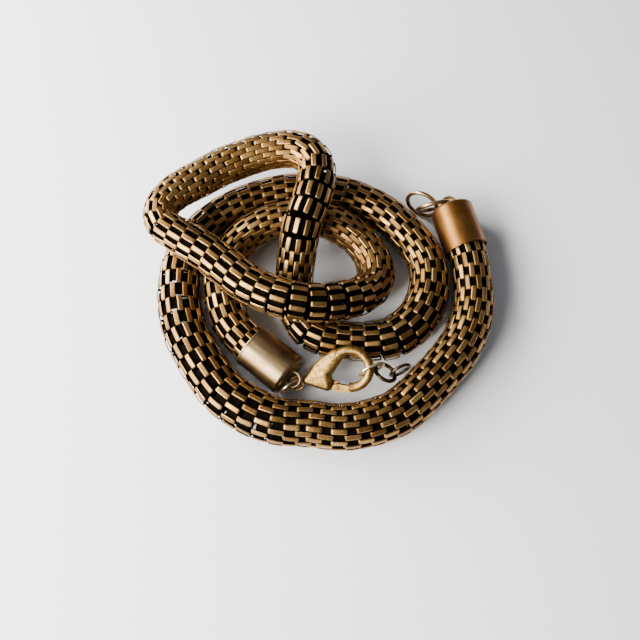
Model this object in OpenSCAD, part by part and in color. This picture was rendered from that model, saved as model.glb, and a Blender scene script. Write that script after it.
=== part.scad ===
// Mesh rope collar necklace, unclasped and lying in a loose pile on a table.
// A hollow knitted-wire rope ends in two plain caps. One cap holds a lobster clasp,
// the other a pair of jump rings, and a ring with two links hangs on the clasp's claw.
// +Z is up, the table is at z = 0 and the origin lies under the middle of the pile.

/* [Mesh rope] */
// Wall of the hollow mesh rope
mesh_wall = 1.0; // [0.6:0.1:1.4]
// Sides of the rope's section
mesh_sides = 12; // [8:1:12]
// Largest turn of the rope between two of its sections, in degrees
section_turn = 24; // [22:1:45]

/* [End caps] */
// Diameter over the bead at a cap's open end
cap_d = 10.4; // [10.2:0.1:10.4]
// Length of a cap
cap_l = 11.4; // [9:0.1:12]
// Diameter of the bore that the rope's end sits in
cap_bore_d = 9.4; // [9.3:0.1:9.5]
// Radius of the closed end's rounded edge
cap_edge_r = 0.9; // [0.5:0.1:1.5]
// Height of both caps' axes above the table
cap_axis_z = 5.2; // [5.2:0.1:5.4]
// Radius of the wire of the eye soldered to a cap
eye_wire_r = 0.35; // [0.3:0.05:0.35]

/* [Rings] */
// Radius of the wire of the two rings at the copper-brown cap
ring_wire_r = 0.5; // [0.3:0.05:0.5]
// Radius of the wire of the ring that holds the clasp
link_wire_r = 0.4; // [0.3:0.05:0.4]
// Radius of the wire of the ring on the claw
chain_wire_r = 0.3; // [0.2:0.05:0.3]
// Radius of the wire of the link on that ring
heavy_wire_r = 0.45; // [0.3:0.05:0.45]
// Radius of the wire of the last link
last_wire_r = 0.35; // [0.3:0.05:0.35]

/* [Lobster clasp] */
// Thickness of the clasp's claw
clasp_t = 2.6; // [2.2:0.1:2.6]
// Outer radius of the claw
claw_r = 5.2; // [5:0.1:5.2]
// Width of the claw's arm
claw_w = 2.0; // [1.6:0.1:2]
// Width of the gate
gate_w = 1.6; // [1.3:0.1:1.6]
// Radius of the gate's pin
pin_r = 0.4; // [0.3:0.02:0.4]

/* [Hidden] */
$fn = 48;

// A cap's place: x and y of its open end, and the heading from there to its closed end
CAP_RING = [34.6, 10.4, 106.5];
CAP_CLASP = [-15.5, -13.2, -40];
// How far the rope's end goes into a cap, and the rope's diameter there
rope_depth = 7;
rope_end_d = 8.9;
// Radius of an eye to mid wire, how far its middle stands out, and its turn about the cap's axis
eye_r = 1.7;
eye_clasp_out = 0.9;
eye_clasp_turn = 65;
eye_ring_out = 1.2;
eye_ring_turn = 100;
bead_r = 0.3;
barrel_inset = 0.1;
cap_floor_t = 1;

// Route of the rope from the cap with the rings to the cap with the clasp
// columns: x, y, z of the rope's middle, outer diameter
ROUTE = [
    [35.5, 4.5, 4.7, 9.2],
    [35.3, -4, 4.8, 9.6],
    [31.5, -13.8, 5.1, 10.2],
    [20.8, -25.9, 5.3, 10.6],
    [13.9, -30.2, 5.3, 10.6],
    [5.5, -32, 5.3, 10.6],
    [-2, -31.3, 5.2, 10.4],
    [-10, -30.5, 5.4, 10.8],
    [-17, -27.5, 5.5, 11],
    [-23.3, -22.2, 5.4, 10.8],
    [-31.1, -9, 5.2, 10.4],
    [-32.8, 5, 4.8, 9.6],
    [-29, 15, 4.4, 8.6],
    [-20, 22.5, 4.2, 8.4],
    [-7.5, 26.5, 4.2, 8.4],
    [5.5, 25.5, 4.3, 8.6],
    [17, 19, 4.5, 9],
    [24.8, 8, 4.65, 9.2],
    [24.3, -3.2, 5, 9.9],
    [17.2, -10.9, 5, 9.9],
    [7, -11.9, 4.5, 9],
    [-2, -9.5, 4.6, 9],
    [-6, -2, 5.4, 9],
    [-5.5, 6, 9, 9],
    [-4, 12.5, 14.8, 9],
    [-1.5, 20, 16, 9],
    [-1, 27.5, 15, 9],
    [-5, 32, 14, 9],
    [-12.5, 32.5, 12.6, 9],
    [-22, 29.5, 11.6, 9],
    [-29.5, 25, 11.8, 8.8],
    [-34, 21.5, 12.4, 8.4],
    [-36.5, 17.5, 13, 8],
    [-36, 13.5, 13.6, 8],
    [-32.5, 10.5, 14, 8.4],
    [-25, 5.5, 14.2, 9],
    [-15.5, -2, 14.6, 9],
    [-5.5, -6, 14.8, 9],
    [4, -5, 12, 9],
    [11, -0.5, 7, 9],
    [13, 5.5, 5, 9],
    [10, 12, 5.2, 8.6],
    [3.5, 16.5, 6.6, 8.4],
    [-4.5, 18, 7, 8.4],
    [-13, 16.5, 6.4, 8.4],
    [-20, 11.5, 5, 8.6],
    [-23, 3.5, 4.7, 9],
    [-20.8, -6.8, 4.8, 9.2],
];

// A loose ring's pose: x, y, z of its middle, heading of its level direction,
// tilt of its other direction, roll, and radius to mid wire
LINK_RING = [27.5, 22, 5.1, 13, 105, 0, 4.1];
CLASP_RING = [24.7, 22.8, 4.4, 62, 6, 78, 3.8];
CLASP_LINK_RING = [-7, -22.5, 4.4, 54, 97, 15, 2.3];
HOOK_RING = [11.5, -19.5, 7.4, 115, -118, 89, 3];
CHAIN_LINK_1 = [14.7, -19.5, 5, 156, 36, 13, 2.5];
CHAIN_LINK_2 = [18.1, -18.7, 3.9, 109, 54, 82, 2.4];

// Place and turn of the clasp: its tail, then rotations that lift its head and tilt its face
CLASP_TAIL = [-3.4, -21.3, 4.2];
CLASP_TURN = [22, -18, 10.7];
// Middle of the claw's circle, measured from the tail along the clasp
claw_mid_x = 11;
claw_arm_r = claw_r - claw_w / 2;
claw_from = -118;
claw_to = 150;
// The clasp's body is a smooth lump round these balls
// columns: x, y, radius
BODY_BALLS = [
    [0.6, 0.05, 0.9],
    [2.9, 1.55, 1.25],
    [5.9, 3.2, 1.3],
    [4.8, 0.5, 1.55],
    [2.7, -1.1, 1.1],
    [4.7, -2.3, 1.2],
];
// Its shoulder runs on into the claw
SHOULDER_BALLS = [
    [4.8, 0.5, 1.55],
    [5.9, 3.2, 1.3],
    [8.6, 3.9, 1.3],
    [10.2, 4.15, 1.05],
    [7, 1.8, 1.2],
];
ball_fn = 32;
tail_ring_r = 1.5;
tail_wire_r = 0.25;
tail_ring_x = -1.9;
tail_neck_r = 0.45;

// The gate turns about the pin's axis, which is the clasp's own upward direction
GATE_PIVOT = [6.7, -3.1];
gate_turn = -22;
gate_l = 2.95;
gate_low = -0.55;
gate_high = 1.2;
gate_end_gap = 0.12;
// Sweep kept free for the gate's tip, in degrees from the closed gate
sweep_from = -60;
sweep_angle = 130;
knuckle_gap = 0.15;
pin_gap = 0.05;
lug_gap = 0.02;
lug_w = 1.8;
lug_t = 0.6;
lug_reach = 2.6;
lug_heading = 140;
pin_head_r = 0.7;
pin_head_t = 0.25;
// The hook's tongue stops the gate from swinging outwards
tongue_x = 2.35;
tongue_l = 1.1;
tongue_top = -0.42;
tongue_t = 1.8;
notch_gap = 0.1;
eps = 0.01;
far = 20;

function unit(v) = v / norm(v);
function place(p) = [p[0], p[1], p[2]];
function cap_point(cap, depth) = [
    cap[0] + depth * cos(cap[2]), cap[1] + depth * sin(cap[2]), cap_axis_z, rope_end_d
];

// Smooth curve through the route's points, and its direction
function curve(a, b, c, d, t) =
    (2 * b + (c - a) * t + (2 * a - 5 * b + 4 * c - d) * t * t + (3 * b - a - 3 * c + d) * t * t * t) / 2;
function curve_way(a, b, c, d, t) =
    (c - a) + 2 * (2 * a - 5 * b + 4 * c - d) * t + 3 * (3 * b - a - 3 * c + d) * t * t;
function turn_between(u, v) = acos(min(1, place(u) * place(v) / norm(place(u)) / norm(place(v))));

rope_line = concat(
    [cap_point(CAP_RING, rope_depth), cap_point(CAP_RING, 0)],
    ROUTE,
    [cap_point(CAP_CLASP, 0), cap_point(CAP_CLASP, rope_depth)]
);
rope_last = len(rope_line) - 1;
rope_ends = concat(
    [2 * rope_line[0] - rope_line[1]], rope_line, [2 * rope_line[rope_last] - rope_line[rope_last - 1]]
);
function steps_at(i) = max(1, ceil(
    turn_between(rope_ends[i + 2] - rope_ends[i], rope_ends[i + 3] - rope_ends[i + 1]) / section_turn));
// Each section: its middle with its diameter, and the rope's direction there
rope_sections = concat(
    [
        for (i = [0 : rope_last - 1])
            for (k = [0 : steps_at(i) - 1])
                let (t = k / steps_at(i), a = rope_ends[i], b = rope_ends[i + 1], c = rope_ends[i + 2],
                    d = rope_ends[i + 3])
                    [curve(a, b, c, d, t), curve_way(a, b, c, d, t)]
    ],
    [[rope_line[rope_last], rope_line[rope_last] - rope_line[rope_last - 1]]]
);
function section_points(s, inset) =
    let (way = unit(place(s[1])), side = unit(cross([0, 0, 1], way)), up = cross(way, side))
        [
            for (j = [0 : mesh_sides - 1])
                place(s[0]) + (s[0][3] / 2 - inset)
                    * (cos(360 * j / mesh_sides) * side + sin(360 * j / mesh_sides) * up)
        ];

module mesh_rope() {
    n = mesh_sides;
    m = len(rope_sections);
    inner = m * n;
    points = concat(
        [for (s = rope_sections) each section_points(s, 0)],
        [for (s = rope_sections) each section_points(s, mesh_wall)]
    );
    walls = [
        for (i = [0 : m - 2])
            for (j = [0 : n - 1])
                let (a = i * n + j, b = i * n + (j + 1) % n)
                    each [
                        [a, a + n, b + n, b],
                        [inner + b, inner + b + n, inner + a + n, inner + a],
                    ]
    ];
    ends = [
        for (j = [0 : n - 1])
            let (k = (j + 1) % n, last = (m - 1) * n)
                each [
                    [j, k, inner + k, inner + j],
                    [last + k, last + j, inner + last + j, inner + last + k],
                ]
    ];
    color([0.62, 0.44, 0.22]) polyhedron(points, concat(walls, ends), convexity = 10);
}

// A cap: drawn from its open end along +Z, then laid on its side
module end_cap(cap, eye_out, eye_turn) {
    outer_r = cap_d / 2 - barrel_inset;
    translate([cap[0], cap[1], cap_axis_z]) rotate([0, 90, cap[2]]) {
        difference() {
            rotate_extrude() {
                square([outer_r, cap_l - cap_edge_r]);
                square([outer_r - cap_edge_r, cap_l]);
                translate([outer_r - cap_edge_r, cap_l - cap_edge_r]) circle(cap_edge_r);
                translate([cap_d / 2 - bead_r, bead_r]) circle(bead_r);
            }
            translate([0, 0, -eps]) cylinder(h = cap_l - cap_floor_t + eps, d = cap_bore_d);
        }
        translate([0, 0, cap_l + eye_out]) rotate([0, 0, -eye_turn]) rotate([90, 0, 0])
            torus(eye_r, eye_wire_r);
    }
}

module end_cap_clasp() {
    color([0.66, 0.6, 0.42]) end_cap(CAP_CLASP, eye_clasp_out, eye_clasp_turn);
}

module end_cap_ring() {
    color([0.72, 0.5, 0.3]) end_cap(CAP_RING, eye_ring_out, eye_ring_turn);
}

module torus(r, wire) {
    rotate_extrude() translate([r, 0]) circle(wire);
}

module loose_ring(pose, wire) {
    translate(place(pose)) rotate([pose[4], 0, pose[3]]) rotate([0, -pose[5], 0]) torus(pose[6], wire);
}

module clasp_link_ring() {
    color([0.7, 0.55, 0.3]) loose_ring(CLASP_LINK_RING, link_wire_r);
}

module link_ring() {
    color([0.7, 0.5, 0.28]) loose_ring(LINK_RING, ring_wire_r);
}

module clasp_ring() {
    color([0.7, 0.5, 0.28]) loose_ring(CLASP_RING, ring_wire_r);
}

module hook_ring() {
    color([0.75, 0.6, 0.35]) loose_ring(HOOK_RING, chain_wire_r);
}

module chain_link_1() {
    color([0.75, 0.6, 0.35]) loose_ring(CHAIN_LINK_1, heavy_wire_r);
}

module chain_link_2() {
    color([0.75, 0.6, 0.35]) loose_ring(CHAIN_LINK_2, last_wire_r);
}

module on_clasp() {
    translate(CLASP_TAIL) rotate(CLASP_TURN) children();
}

module on_gate() {
    on_clasp() translate(GATE_PIVOT) rotate([0, 0, gate_turn]) children();
}

module along_pin() {
    translate([GATE_PIVOT[0], GATE_PIVOT[1], -far / 2]) children();
}

module lump(balls) {
    hull() for (b = balls) translate([b[0], b[1], 0]) sphere(b[2], $fn = ball_fn);
}

module claw() {
    flat = clasp_t - claw_w;
    translate([claw_mid_x, 0, 0]) rotate([0, 0, claw_from]) rotate_extrude(angle = claw_to - claw_from) {
        translate([claw_arm_r, flat / 2]) circle(claw_w / 2);
        translate([claw_arm_r, -flat / 2]) circle(claw_w / 2);
        translate([claw_arm_r - claw_w / 2, -flat / 2]) square([claw_w, flat]);
    }
}

module clasp_body() {
    lug_low = -clasp_t / 2;
    color([0.8, 0.64, 0.36]) {
        difference() {
            on_clasp() {
                difference() {
                    union() {
                        lump(BODY_BALLS);
                        lump(SHOULDER_BALLS);
                        claw();
                    }
                    // Room for the gate's knuckle and for the sweep of its tip
                    along_pin() cylinder(h = far, r = gate_w / 2 + knuckle_gap);
                    along_pin() rotate([0, 0, gate_turn + sweep_from])
                        rotate_extrude(angle = sweep_angle) square([gate_l + gate_end_gap, far]);
                }
                // Lug that carries the pin
                translate([GATE_PIVOT[0], GATE_PIVOT[1], lug_low]) {
                    cylinder(h = lug_t, d = lug_w);
                    rotate([0, 0, lug_heading]) translate([0, -lug_w / 2, 0])
                        cube([lug_reach, lug_w, lug_t]);
                }
                translate([tail_ring_x, 0, 0]) torus(tail_ring_r, tail_wire_r);
                sphere(tail_neck_r);
            }
            on_clasp() along_pin() cylinder(h = far, r = pin_r + lug_gap);
        }
        on_gate() translate([tongue_x, -gate_w / 2, -tongue_t / 2])
            cube([tongue_l, gate_w / 2 + tongue_top, tongue_t]);
    }
}

module clasp_gate() {
    color([0.78, 0.62, 0.34]) on_gate() translate([0, 0, gate_low]) difference() {
        intersection() {
            union() {
                cylinder(h = gate_high - gate_low, d = gate_w);
                translate([0, -gate_w / 2, 0]) cube([gate_l, gate_w, gate_high - gate_low]);
            }
            translate([0, 0, -eps]) cylinder(h = gate_high - gate_low + 2 * eps, r = gate_l);
        }
        translate([tongue_x - notch_gap, -gate_w, -eps])
            cube([gate_l, gate_w + tongue_top + notch_gap, gate_high - gate_low + 2 * eps]);
        translate([0, 0, -eps]) cylinder(h = gate_high - gate_low + 2 * eps, r = pin_r + pin_gap);
    }
}

module clasp_pin() {
    head_z = gate_high + pin_gap;
    color([0.7, 0.55, 0.3]) on_gate() {
        translate([0, 0, -clasp_t / 2]) cylinder(h = clasp_t / 2 + head_z + eps, r = pin_r);
        translate([0, 0, head_z]) cylinder(h = pin_head_t, r = pin_head_r);
    }
}

mesh_rope();
end_cap_clasp();
end_cap_ring();
clasp_link_ring();
clasp_body();
clasp_gate();
clasp_pin();
link_ring();
clasp_ring();
hook_ring();
chain_link_1();
chain_link_2();
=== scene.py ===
"""Mesh collar necklace lying in a loose pile: the mesh's strip rings, finishes, light and camera."""
import math
import bpy
import numpy as np
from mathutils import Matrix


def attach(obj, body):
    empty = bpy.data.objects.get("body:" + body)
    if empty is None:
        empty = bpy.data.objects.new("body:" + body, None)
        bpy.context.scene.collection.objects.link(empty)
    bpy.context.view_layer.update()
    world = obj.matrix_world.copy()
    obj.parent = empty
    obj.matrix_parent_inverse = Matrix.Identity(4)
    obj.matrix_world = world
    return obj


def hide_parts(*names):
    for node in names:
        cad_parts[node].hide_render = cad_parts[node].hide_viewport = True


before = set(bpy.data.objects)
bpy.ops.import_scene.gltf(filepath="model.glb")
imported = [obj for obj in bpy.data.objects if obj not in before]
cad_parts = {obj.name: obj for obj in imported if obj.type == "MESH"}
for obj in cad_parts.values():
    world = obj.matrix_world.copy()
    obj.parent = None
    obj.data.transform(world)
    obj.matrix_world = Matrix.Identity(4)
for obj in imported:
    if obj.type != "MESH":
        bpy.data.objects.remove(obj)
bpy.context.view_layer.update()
BODY = "necklace"
MM = 0.001

# Camera: it looks at the middle of the pile from the photograph's angle
TARGET = (0.0, -0.007, 0.005)
ELEVATION = math.radians(71)
DISTANCE = 0.2
FOCAL_PX = 869.6
IMAGE_PX = 640
SENSOR_MM = 36.0

# Caps: x and y of the open end, and the heading from there to the closed end
CAP_RING = (0.0346, 0.0104, 106.5)
CAP_CLASP = (-0.0155, -0.0132, -40)
CAP_AXIS_Z = 0.0052
ROPE_DEPTH = 0.007
ROPE_END_D = 0.0089
# The mesh starts this far inside each cap
MESH_DEPTH = 0.0015

# Route of the rope, in metres
# columns: x, y, z of its middle, outer diameter, distance between the mesh's rings
ROUTE = [
    (0.0355, 0.0045, 0.0047, 0.0092, 0.0032),
    (0.0353, -0.004, 0.0048, 0.0096, 0.0027),
    (0.0315, -0.0138, 0.0051, 0.0102, 0.00265),
    (0.0208, -0.0259, 0.0053, 0.0106, 0.00262),
    (0.0139, -0.0302, 0.0053, 0.0106, 0.0025),
    (0.0055, -0.032, 0.0053, 0.0106, 0.00255),
    (-0.002, -0.0313, 0.0052, 0.0104, 0.0026),
    (-0.01, -0.0305, 0.0054, 0.0108, 0.003),
    (-0.017, -0.0275, 0.0055, 0.011, 0.0034),
    (-0.0233, -0.0222, 0.0054, 0.0108, 0.0034),
    (-0.0311, -0.009, 0.0052, 0.0104, 0.0034),
    (-0.0328, 0.005, 0.0048, 0.0096, 0.0034),
    (-0.029, 0.015, 0.0044, 0.0086, 0.0031),
    (-0.02, 0.0225, 0.0042, 0.0084, 0.0029),
    (-0.0075, 0.0265, 0.0042, 0.0084, 0.0029),
    (0.0055, 0.0255, 0.0043, 0.0086, 0.0029),
    (0.017, 0.019, 0.0045, 0.009, 0.0028),
    (0.0248, 0.008, 0.00465, 0.0092, 0.0027),
    (0.0243, -0.0032, 0.005, 0.0099, 0.0029),
    (0.0172, -0.0109, 0.005, 0.0099, 0.0034),
    (0.007, -0.0119, 0.0045, 0.009, 0.0032),
    (-0.002, -0.0095, 0.0046, 0.009, 0.0031),
    (-0.006, -0.002, 0.0054, 0.009, 0.0029),
    (-0.0055, 0.006, 0.009, 0.009, 0.0031),
    (-0.004, 0.0125, 0.0148, 0.009, 0.0036),
    (-0.0015, 0.02, 0.016, 0.009, 0.0037),
    (-0.001, 0.0275, 0.015, 0.009, 0.0031),
    (-0.005, 0.032, 0.014, 0.009, 0.0023),
    (-0.0125, 0.0325, 0.0126, 0.009, 0.0019),
    (-0.022, 0.0295, 0.0116, 0.009, 0.0022),
    (-0.0295, 0.025, 0.0118, 0.0088, 0.0022),
    (-0.034, 0.0215, 0.0124, 0.0084, 0.0022),
    (-0.0365, 0.0175, 0.013, 0.008, 0.0022),
    (-0.036, 0.0135, 0.0136, 0.008, 0.0027),
    (-0.0325, 0.0105, 0.014, 0.0084, 0.0033),
    (-0.025, 0.0055, 0.0142, 0.009, 0.0035),
    (-0.0155, -0.002, 0.0146, 0.009, 0.0034),
    (-0.0055, -0.006, 0.0148, 0.009, 0.0037),
    (0.004, -0.005, 0.012, 0.009, 0.004),
    (0.011, -0.0005, 0.007, 0.009, 0.0028),
    (0.013, 0.0055, 0.005, 0.009, 0.0023),
    (0.01, 0.012, 0.0052, 0.0086, 0.0022),
    (0.0035, 0.0165, 0.0066, 0.0084, 0.0022),
    (-0.0045, 0.018, 0.007, 0.0084, 0.0024),
    (-0.013, 0.0165, 0.0064, 0.0084, 0.0025),
    (-0.02, 0.0115, 0.005, 0.0086, 0.0026),
    (-0.023, 0.0035, 0.0047, 0.009, 0.0029),
    (-0.0208, -0.0068, 0.0048, 0.0092, 0.0031),
]
PITCH_RING_CAP = 0.0032
PITCH_CLASP_CAP = 0.0031
# Points of the curve from one row of the route to the next
CURVE_STEPS = 40

# Mesh: each ring is one flat strip bent into bricks that lie along the rope
COLUMNS = 22
BRICKS = COLUMNS // 2
BRICK_L = 3.4 * MM
BRICK_W = 1.12 * MM
# Part of a column's width that a brick may fill
BRICK_FILL = 0.97
STRIP_T = 0.26 * MM
# The strip's face is flat over this half width, in strip widths, and its worn edge drops by this much
FACE_HALF = 0.34
EDGE_DROP = 0.11 * MM
EDGE_WEAR = 0.9
# A brick's face is a little bowed, and its ends bend inwards into legs.
# BOW_AT is where the bow's middle point lies, as a part of the flat's half length
BOW = 0.05 * MM
BOW_ANGLE = 0.06
BOW_AT = 0.6
BEND_R = 0.32 * MM
# Degrees: the bend's stations, and the bend at which no rubbed brightness would be left and the
# painted shade of the tube's inside is full
BEND_STEPS = (30, 60, 90)
BEND_FULL_SHADE = 120
LEG = 0.75 * MM
# Depth of a brick's outer face under the rope's surface
FACE_SINK = 0.03 * MM

# Where rings are closer than a brick is long, bricks overlap like shingles
OVERLAP_START = 0.25 * MM
OVERLAP_RANGE = 0.6 * MM
SHINGLE_T = 0.3 * MM
SHINGLE_SINK = 0.12 * MM
MAX_TILT_SINE = 0.4
# A bend changes the distance between rings at most by these factors
NEAREST = 0.15
FURTHEST = 2

# Scatter of the bricks: angles in radians, shifts in millimetres
TILT_SCATTER = 0.02
YAW_SCATTER = 0.018
LIFT_SCATTER = 0.03
SLIDE_SCATTER = 0.06
SEED = 5

# Strips inside the tube that join the bricks
LINK_W = 2.7 * MM
LINK_STATIONS = 5
# Value of the inner strips, near black in the material: painted shade inside the tube
LINK_PAINTED_SHADE = 0.08
LINK_TONE = 0.3
PIECES = 4

# Sockets of the mix node when it mixes colours
MIX_A = 6
MIX_B = 7
MIX_RESULT = 2

# Stage
FLOOR_SIZE = 4
FLOOR_COLOR = (0.8, 0.8, 0.81, 1)
FLOOR_ROUGHNESS = 0.9
SKY_COLOR = (0.9, 0.93, 1.0, 1)
SKY_STRENGTH = 0.22
CLIP_START = 0.005
# columns: name, place, size, power, colour
LIGHTS = [
    ("key", (-0.24, -0.15, 0.19), 0.22, 4.9, (1.0, 0.98, 0.94)),
    ("side", (-0.2, 0.07, 0.09), 0.2, 1.5, (1.0, 0.97, 0.93)),
    ("fill", (-0.5, 0.25, 0.28), 0.36, 5.5, (0.95, 0.97, 1.0)),
]


def cap_rows(cap, pitch):
    """Rope points at the closed-end side and at the mouth of a cap."""
    x, y, turn = cap
    a = math.radians(turn)
    deep_x = x + ROPE_DEPTH * math.cos(a)
    deep_y = y + ROPE_DEPTH * math.sin(a)
    return (deep_x, deep_y, CAP_AXIS_Z, ROPE_END_D, pitch), (x, y, CAP_AXIS_Z, ROPE_END_D, pitch)


def rope_line():
    """Dense points along the rope, on a Catmull-Rom curve: x, y, z, diameter, pitch."""
    first, second = cap_rows(CAP_RING, PITCH_RING_CAP)
    last, before = cap_rows(CAP_CLASP, PITCH_CLASP_CAP)
    rows = np.array([first, second, *ROUTE, before, last])
    rows = np.vstack([2 * rows[0] - rows[1], rows, 2 * rows[-1] - rows[-2]])
    t = np.arange(CURVE_STEPS)[:, None] / CURVE_STEPS
    out = []
    for a, b, c, d in zip(rows, rows[1:], rows[2:], rows[3:]):
        square = 2 * a - 5 * b + 4 * c - d
        cube = 3 * b - a - 3 * c + d
        out.append((2 * b + (c - a) * t + square * t ** 2 + cube * t ** 3) / 2)
    return np.vstack([*out, rows[-2]])


def unit(rows):
    """Rows scaled to length 1."""
    return rows / np.linalg.norm(rows, axis=1)[:, None]


def sample(at, arc, columns):
    """Each column read off at the given lengths along the rope."""
    return np.stack([np.interp(at, arc, column) for column in columns.T], axis=1)


def ring_frames():
    """One row per ring of the mesh: middle, tangent, side, up, radius, local pitch, bend vector."""
    line = rope_line()
    step = np.linalg.norm(np.diff(line[:, :3], axis=0), axis=1)
    arc = np.concatenate([[0], np.cumsum(step)])
    count = np.concatenate([[0], np.cumsum(step / ((line[1:, 4] + line[:-1, 4]) / 2))])
    start = np.interp(ROPE_DEPTH - MESH_DEPTH, arc, count)
    end = np.interp(arc[-1] - ROPE_DEPTH + MESH_DEPTH, arc, count)
    rings = int(round(end - start))
    at = np.interp(start + (end - start) * (np.arange(rings) + 0.5) / rings, count, arc)
    way = unit(np.gradient(line[:, :3], arc, axis=0))
    pos = sample(at, arc, line[:, :3])
    tangent = unit(sample(at, arc, way))
    side = unit(np.cross((0, 0, 1), tangent))
    up = np.cross(tangent, side)
    radius = np.interp(at, arc, line[:, 3]) / 2
    pitch = np.interp(at, arc, line[:, 4])
    curl = sample(at, arc, np.gradient(way, arc, axis=0))
    return pos, tangent, side, up, radius, pitch, curl


def strip_section():
    """Section of the strip, one unit wide, with worn edges: across, outwards, worn-and-lit value (low
    values are painted shade).
    """
    t = STRIP_T / 2
    half = [(0.5, -t, 0.0), (0.5, t - EDGE_DROP, EDGE_WEAR), (FACE_HALF, t, 1.0)]
    return np.array([(-a, n, wear_and_shade) for a, n, wear_and_shade in half] + half[::-1])


def brick_path():
    """Middle line of a brick's strip: along the rope, outwards, direction angle, worn-and-lit value,
    which falls to painted shade along the bend into the leg.
    """
    flat = BRICK_L / 2 - BEND_R
    half = [
        (0.0, 0.0, 0.0, 1.0),
        (flat * BOW_AT, -BOW * BOW_AT ** 2, -BOW_ANGLE / 2, 1.0),
        (flat, -BOW, -BOW_ANGLE, 1.0),
    ]
    # Along the bend into the leg the value falls: painted shade where the strip turns into the tube
    for a in BEND_STEPS:
        r = math.radians(a)
        drop = -BOW - BEND_R * (1 - math.cos(r))
        half.append((flat + BEND_R * math.sin(r), drop, -r, 1.0 - a / BEND_FULL_SHADE))
    half.append((flat + BEND_R, -BOW - LEG, -math.pi / 2, 0.0))
    mirrored = [(-x, z, -a, w) for x, z, a, w in half[:0:-1]]
    return np.array(mirrored + half)


def swept_quads(stations, points):
    """Quads of a swept section, with each end closed by quads. points is even."""
    faces = []
    for i in range(stations - 1):
        here = i * points
        ahead = here + points
        for j in range(points):
            k = (j + 1) % points
            faces.append((here + j, here + k, ahead + k, ahead + j))
    for base, flip in ((0, True), ((stations - 1) * points, False)):
        for j in range(points // 2 - 1):
            quad = (base + j, base + j + 1, base + points - 2 - j, base + points - 1 - j)
            faces.append(quad[::-1] if flip else quad)
    return np.array(faces)


def brick_template():
    """A brick's vertices (along, across, outwards), worn-and-lit values (low values are painted
    shade) and quads.
    """
    section = strip_section()
    path = brick_path()
    verts, wear_and_shade = [], []
    for x, z, a, w in path:
        for c, n, edge in section:
            verts.append((x - n * math.sin(a), c, z + n * math.cos(a)))
            wear_and_shade.append(w * edge)
    return np.array(verts), np.array(wear_and_shade), swept_quads(len(path), len(section))


def brick_columns(rings):
    """Ring number, number in the ring and angle round the rope of every brick."""
    k = np.repeat(np.arange(rings), BRICKS)
    j = np.tile(np.arange(BRICKS), rings)
    return k, j, 2 * math.pi / COLUMNS * (2 * j + k % 2)


def radial(angle, side, up):
    """Outward directions at angles round the rope."""
    return np.cos(angle)[:, None] * side + np.sin(angle)[:, None] * up


def turned(a, b, angle):
    """Rows a and b, at right angles, both turned by an angle in their plane, a towards b."""
    cos, sin = np.cos(angle)[:, None], np.sin(angle)[:, None]
    return a * cos + b * sin, b * cos - a * sin


def brick_meshes(frames):
    """Vertices and worn-and-lit values (low values are painted shade) of every brick, a tone for
    each, ring by ring, and one ring's faces.
    """
    pos, tangent, side, up, radius, pitch, curl = frames
    rng = np.random.default_rng(SEED)
    local, wear_and_shade, quads = brick_template()
    rings = len(pos)
    k, _, angle = brick_columns(rings)
    out = radial(angle, side[k], up[k])
    across = np.cross(out, tangent[k])
    width = np.minimum(BRICK_W, BRICK_FILL * 2 * math.pi * radius[k] / COLUMNS)
    # Distance to the next ring measured on the surface, less on the inside of a bend
    inside = 1 - radius[k] * np.sum(out * curl[k], axis=1)
    near = pitch[k] * np.clip(inside, NEAREST, FURTHEST)
    crowd = np.clip((BRICK_L + OVERLAP_START - 2 * near) / OVERLAP_RANGE, 0, 1)
    tilt = crowd * np.arcsin(np.clip(SHINGLE_T / (2 * near), 0, MAX_TILT_SINE))
    tilt = tilt + rng.normal(0, TILT_SCATTER, len(k))
    yaw = rng.normal(0, YAW_SCATTER, len(k))
    lift = rng.normal(0, LIFT_SCATTER, len(k)) * MM - crowd * SHINGLE_SINK
    slide = rng.normal(0, SLIDE_SCATTER, len(k)) * MM
    depth = radius[k] - STRIP_T / 2 - FACE_SINK + lift
    mid = pos[k] + tangent[k] * slide[:, None] + out * depth[:, None]
    along, outward = turned(tangent[k], out, tilt)
    along, across = turned(along, across, yaw)
    across = across * width[:, None]
    verts = mid[:, None] + local[None, :, :1] * along[:, None]
    verts = verts + local[None, :, 1:2] * across[:, None] + local[None, :, 2:] * outward[:, None]
    wear_and_shade = np.tile(wear_and_shade, (rings, BRICKS))
    tone = np.repeat(rng.random(len(k)), len(local)).reshape(rings, -1)
    faces = quads[None] + (np.arange(BRICKS) * len(local))[:, None, None]
    return verts.reshape(rings, -1, 3), wear_and_shade, tone, faces.reshape(-1, 4)


def link_meshes(frames):
    """Vertices, ring by ring, and one ring's faces of the strips inside the tube.

    Each joins two neighbouring bricks, at their front ends and back ends in turn.
    """
    pos, tangent, side, up, radius = frames[:5]
    w, t = LINK_W / 2, STRIP_T / 2
    section = [(-w, -t), (-w, t), (w, t), (w, -t)]
    quads = swept_quads(LINK_STATIONS, len(section))
    rings = len(pos)
    k, j, start = brick_columns(rings)
    front = np.where(j % 2 == 0, 1.0, -1.0) * (BRICK_L - LINK_W) / 2
    span = 2 * (2 * math.pi / COLUMNS)
    r = radius[k] - STRIP_T / 2 - LEG - BOW
    rows = []
    for i in range(LINK_STATIONS):
        out = radial(start + span * i / (LINK_STATIONS - 1), side[k], up[k])
        for c, n in section:
            rows.append(pos[k] + tangent[k] * (front + c)[:, None] + out * (r + n)[:, None])
    verts = np.stack(rows, axis=1)
    faces = quads[None] + (np.arange(BRICKS) * verts.shape[1])[:, None, None]
    return verts.reshape(rings, -1, 3), faces.reshape(-1, 4)


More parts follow.
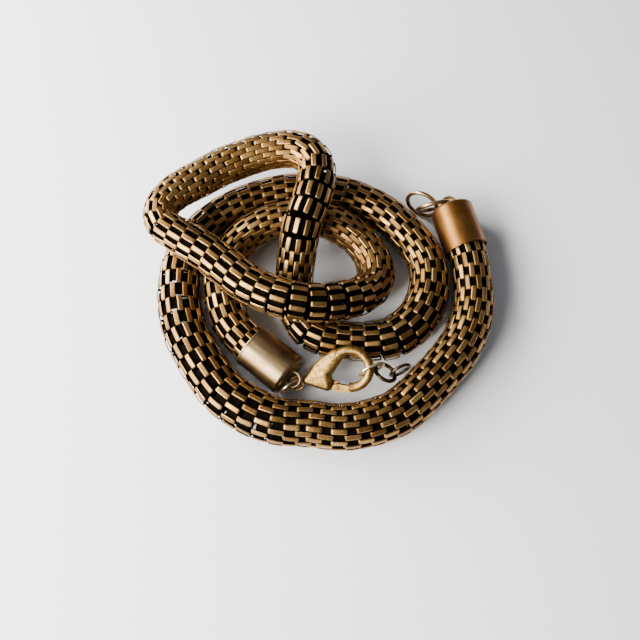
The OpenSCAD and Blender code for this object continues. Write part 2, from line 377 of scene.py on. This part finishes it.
def mesh_object(name, verts, faces, attributes, material):
    """A mesh of quads with named values at its vertices."""
    mesh = bpy.data.meshes.new(name)
    mesh.vertices.add(len(verts))
    mesh.vertices.foreach_set("co", verts.astype(np.float32).ravel())
    mesh.loops.add(faces.size)
    mesh.loops.foreach_set("vertex_index", faces.astype(np.int32).ravel())
    mesh.polygons.add(len(faces))
    mesh.polygons.foreach_set("loop_start", np.arange(0, faces.size, 4, dtype=np.int32))
    mesh.update(calc_edges=True)
    mesh.shade_flat()
    for key, values in attributes.items():
        layer = mesh.attributes.new(key, "FLOAT", "POINT")
        layer.data.foreach_set("value", values.astype(np.float32))
    mesh.validate()
    obj = bpy.data.objects.new(name, mesh)
    bpy.context.scene.collection.objects.link(obj)
    mesh.materials.append(material)
    return obj


def build_mesh_rope(material):
    """The rope's strip rings, in a few joined pieces."""
    frames = ring_frames()
    brick_v, brick_wear_and_shade, brick_tone, brick_f = brick_meshes(frames)
    link_v, link_f = link_meshes(frames)
    per_brick, per_link = brick_v.shape[1], link_v.shape[1]
    rings = len(brick_v)
    cuts = np.linspace(0, rings, PIECES + 1).astype(int)
    for i, (a, b) in enumerate(zip(cuts, cuts[1:])):
        n = b - a
        verts = np.concatenate([brick_v[a:b].reshape(-1, 3), link_v[a:b].reshape(-1, 3)])
        bricks = brick_f[None] + (np.arange(n) * per_brick)[:, None, None]
        links = link_f[None] + (n * per_brick + np.arange(n) * per_link)[:, None, None]
        faces = np.concatenate([bricks.reshape(-1, 4), links.reshape(-1, 4)])
        # The inner strips get a low value: painted shade inside the tube
        wear_and_shade = np.concatenate([brick_wear_and_shade[a:b].ravel(), np.full(n * per_link, LINK_PAINTED_SHADE)])
        tone = np.concatenate([brick_tone[a:b].ravel(), np.full(n * per_link, LINK_TONE)])
        values = {"wear_and_shade": wear_and_shade, "tone": tone}
        obj = mesh_object(f"mesh_rings_{i + 1}", verts, faces, values, material)
        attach(obj, BODY)
        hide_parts("mesh_rope")
    print("rings of the mesh", rings)


class Nodes:
    """Short calls for building one material."""

    def __init__(self, name):
        self.material = bpy.data.materials.new(name)
        self.material.use_nodes = True
        self.tree = self.material.node_tree
        self.shader = self.tree.nodes["Principled BSDF"]

    def add(self, kind, **inputs):
        node = self.tree.nodes.new(kind)
        for key, value in inputs.items():
            self.put(node.inputs[key.replace("_", " ")], value)
        return node

    def put(self, socket, value):
        if isinstance(value, bpy.types.NodeSocket):
            self.tree.links.new(value, socket)
        else:
            socket.default_value = value

    def set(self, **inputs):
        for key, value in inputs.items():
            self.put(self.shader.inputs[key.replace("_", " ")], value)

    def attribute(self, name):
        node = self.tree.nodes.new("ShaderNodeAttribute")
        node.attribute_name = name
        return node.outputs["Fac"]

    def place(self, scale=(1, 1, 1), turn=0.0):
        """Object coordinates, turned about Z and stretched."""
        coord = self.tree.nodes.new("ShaderNodeTexCoord").outputs["Object"]
        spin = self.add("ShaderNodeMapping", Vector=coord, Rotation=(0, 0, -math.radians(turn)))
        return self.add("ShaderNodeMapping", Vector=spin.outputs[0], Scale=scale).outputs[0]

    def noise(self, scale, detail=3.0, vector=None):
        """Noise with this many cycles to a metre."""
        vector = vector or self.place()
        node = self.add("ShaderNodeTexNoise", Vector=vector, Scale=scale, Detail=detail)
        return node.outputs["Fac"]

    def ramp(self, value, stops):
        """Colour ramp over value: stops are (position, colour)."""
        node = self.tree.nodes.new("ShaderNodeValToRGB")
        self.put(node.inputs[0], value)
        ramp = node.color_ramp
        while len(ramp.elements) < len(stops):
            ramp.elements.new(0.5)
        for element, (at, color) in zip(ramp.elements, stops):
            element.position = at
            element.color = (*color, 1) if isinstance(color, tuple) else (color, color, color, 1)
        return node.outputs[0]

    def math(self, operation, a, b):
        node = self.tree.nodes.new("ShaderNodeMath")
        node.operation = operation
        self.put(node.inputs[0], a)
        self.put(node.inputs[1], b)
        return node.outputs[0]

    def mix(self, factor, a, b):
        node = self.tree.nodes.new("ShaderNodeMix")
        node.data_type = "RGBA"
        self.put(node.inputs[0], factor)
        for index, color in ((MIX_A, a), (MIX_B, b)):
            linked = isinstance(color, bpy.types.NodeSocket)
            self.put(node.inputs[index], color if linked else (*color, 1))
        return node.outputs[MIX_RESULT]

    def bump(self, height, distance, strength=1.0):
        node = self.add("ShaderNodeBump", Height=height, Strength=strength, Distance=distance)
        self.put(self.shader.inputs["Normal"], node.outputs[0])


def mesh_brass():
    """Antiqued brass strip: worn bright outside; the inside is painted near black as shade, with its
    metal and shine taken away.
    """
    m = Nodes("mesh_brass_painted_shade")
    wear_and_shade = m.attribute("wear_and_shade")
    tone = m.attribute("tone")
    patches = m.noise(260, 2)
    grain = m.noise(2600, 4)
    mottled = m.math("ADD", m.math("MULTIPLY", patches, 0.6), m.math("MULTIPLY", tone, 0.4))
    brass = m.ramp(mottled, [
        (0.25, (0.16, 0.08, 0.023)),
        (0.5, (0.27, 0.145, 0.045)),
        (0.75, (0.4, 0.235, 0.08)),
    ])
    # How rubbed and how lit each point is: low values give the painted shade
    rub_and_light = m.math("MULTIPLY", wear_and_shade, m.math("ADD", m.math("MULTIPLY", grain, 0.5), 0.8))
    clean_and_lit = m.ramp(rub_and_light, [(0.3, 0.0), (0.75, 1.0)])
    satin = m.ramp(grain, [(0.35, 0.32), (0.7, 0.48)])
    # Near black, not metallic and without shine where the value is low: painted shade inside the tube
    m.set(Base_Color=m.mix(clean_and_lit, (0.003, 0.002, 0.0015), brass), Metallic=clean_and_lit,
          Roughness=m.mix(clean_and_lit, (0.7, 0.7, 0.7), satin),
          Specular_IOR_Level=m.math("MULTIPLY", clean_and_lit, 0.5))
    m.bump(grain, 0.00003, 0.35)
    return m.material


def cap_brushed():
    """Olive-gold cap with fine brushed lines along it."""
    m = Nodes("brushed_olive_brass")
    lines = m.noise(900, 4, m.place((0.12, 1, 1), CAP_CLASP[2]))
    cloud = m.noise(140, 3)
    base = m.ramp(cloud, [
        (0.3, (0.13, 0.08, 0.035)),
        (0.55, (0.23, 0.155, 0.075)),
        (0.75, (0.31, 0.21, 0.11)),
    ])
    m.set(Base_Color=base, Metallic=1.0, Roughness=m.ramp(lines, [(0.3, 0.3), (0.7, 0.46)]))
    m.bump(lines, 0.00004, 0.3)
    return m.material


def cap_copper():
    """Copper-brown satin cap."""
    m = Nodes("satin_copper_brass")
    lines = m.noise(1100, 4, m.place((0.15, 1, 1), CAP_RING[2]))
    cloud = m.noise(160, 3)
    base = m.ramp(cloud, [(0.3, (0.165, 0.066, 0.015)), (0.7, (0.275, 0.125, 0.032))])
    m.set(Base_Color=base, Metallic=1.0, Roughness=m.ramp(lines, [(0.3, 0.34), (0.7, 0.46)]))
    m.bump(lines, 0.00003, 0.25)
    return m.material


def clasp_brass():
    """Bright cast brass with a worn, faintly dented face."""
    m = Nodes("cast_clasp_brass")
    dents = m.noise(2600, 3)
    grain = m.noise(5500, 3)
    patina = m.noise(1300, 5)
    base = m.ramp(patina, [
        (0.35, (0.15, 0.08, 0.02)),
        (0.5, (0.25, 0.148, 0.041)),
        (0.65, (0.34, 0.212, 0.062)),
    ])
    m.set(Base_Color=base, Metallic=1.0, Roughness=m.ramp(grain, [(0.3, 0.4), (0.7, 0.56)]))
    m.bump(m.math("ADD", dents, m.math("MULTIPLY", grain, 0.35)), 0.00007, 0.7)
    return m.material


def ring_brass(name, dark, bright):
    """Round wire with tarnish in patches."""
    m = Nodes(name)
    patina = m.noise(500, 3)
    m.set(Base_Color=m.ramp(patina, [(0.35, dark), (0.6, bright)]), Metallic=1.0,
          Roughness=m.ramp(patina, [(0.3, 0.4), (0.7, 0.25)]))
    m.bump(m.noise(2400, 3), 0.00003, 0.3)
    return m.material


def finish_nodes():
    """Each shown CAD node gets its material."""
    clasp = clasp_brass()
    copper_wire = ring_brass("copper_wire", (0.16, 0.085, 0.035), (0.42, 0.26, 0.12))
    wire = ring_brass("brass_wire", (0.36, 0.24, 0.12), (0.74, 0.58, 0.34))
    pale_wire = ring_brass("pale_wire", (0.52, 0.38, 0.2), (0.85, 0.7, 0.44))
    # Chain links near black: partly patina, partly painted shade
    patina_and_shade_wire = ring_brass("patina_and_shade_wire", (0.03, 0.018, 0.01), (0.12, 0.08, 0.045))
    finishes = {
        "end_cap_clasp": cap_brushed(), "end_cap_ring": cap_copper(),
        "clasp_body": clasp, "clasp_gate": clasp, "clasp_pin": clasp,
        "clasp_link_ring": wire, "link_ring": copper_wire, "clasp_ring": copper_wire,
        "hook_ring": pale_wire, "chain_link_1": patina_and_shade_wire, "chain_link_2": patina_and_shade_wire,
    }
    for name, material in finishes.items():
        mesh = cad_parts[name].data
        mesh.materials.clear()
        mesh.materials.append(material)


def aim(obj, target):
    """Turns a light towards a point."""
    d = [t - p for t, p in zip(target, obj.location)]
    flat = math.hypot(d[0], d[1])
    obj.rotation_euler = (math.atan2(flat, -d[2]), 0, math.atan2(-d[0], d[1]))


def build_stage():
    """Pale floor, soft lights and camera."""
    bpy.ops.mesh.primitive_plane_add(size=FLOOR_SIZE)
    floor = bpy.context.object
    floor.name = "floor"
    pale = Nodes("pale_floor")
    pale.set(Base_Color=FLOOR_COLOR, Roughness=FLOOR_ROUGHNESS)
    floor.data.materials.append(pale.material)

    world = bpy.data.worlds.new("studio")
    bpy.context.scene.world = world
    world.use_nodes = True
    background = world.node_tree.nodes["Background"]
    background.inputs["Color"].default_value = SKY_COLOR
    background.inputs["Strength"].default_value = SKY_STRENGTH
    for name, place, size, power, color in LIGHTS:
        data = bpy.data.lights.new(name, "AREA")
        data.size = size
        data.energy = power
        data.color = color
        lamp = bpy.data.objects.new(name, data)
        lamp.location = place
        aim(lamp, (0, 0, 0))
        bpy.context.scene.collection.objects.link(lamp)

    data = bpy.data.cameras.new("camera")
    data.sensor_width = SENSOR_MM
    data.lens = FOCAL_PX / IMAGE_PX * SENSOR_MM
    data.clip_start = CLIP_START
    camera = bpy.data.objects.new("camera", data)
    back, height = DISTANCE * math.cos(ELEVATION), DISTANCE * math.sin(ELEVATION)
    camera.location = (TARGET[0], TARGET[1] - back, TARGET[2] + height)
    camera.rotation_euler = (math.pi / 2 - ELEVATION, 0, 0)
    bpy.context.scene.collection.objects.link(camera)
    bpy.context.scene.camera = camera


build_stage()
build_mesh_rope(mesh_brass())
finish_nodes()
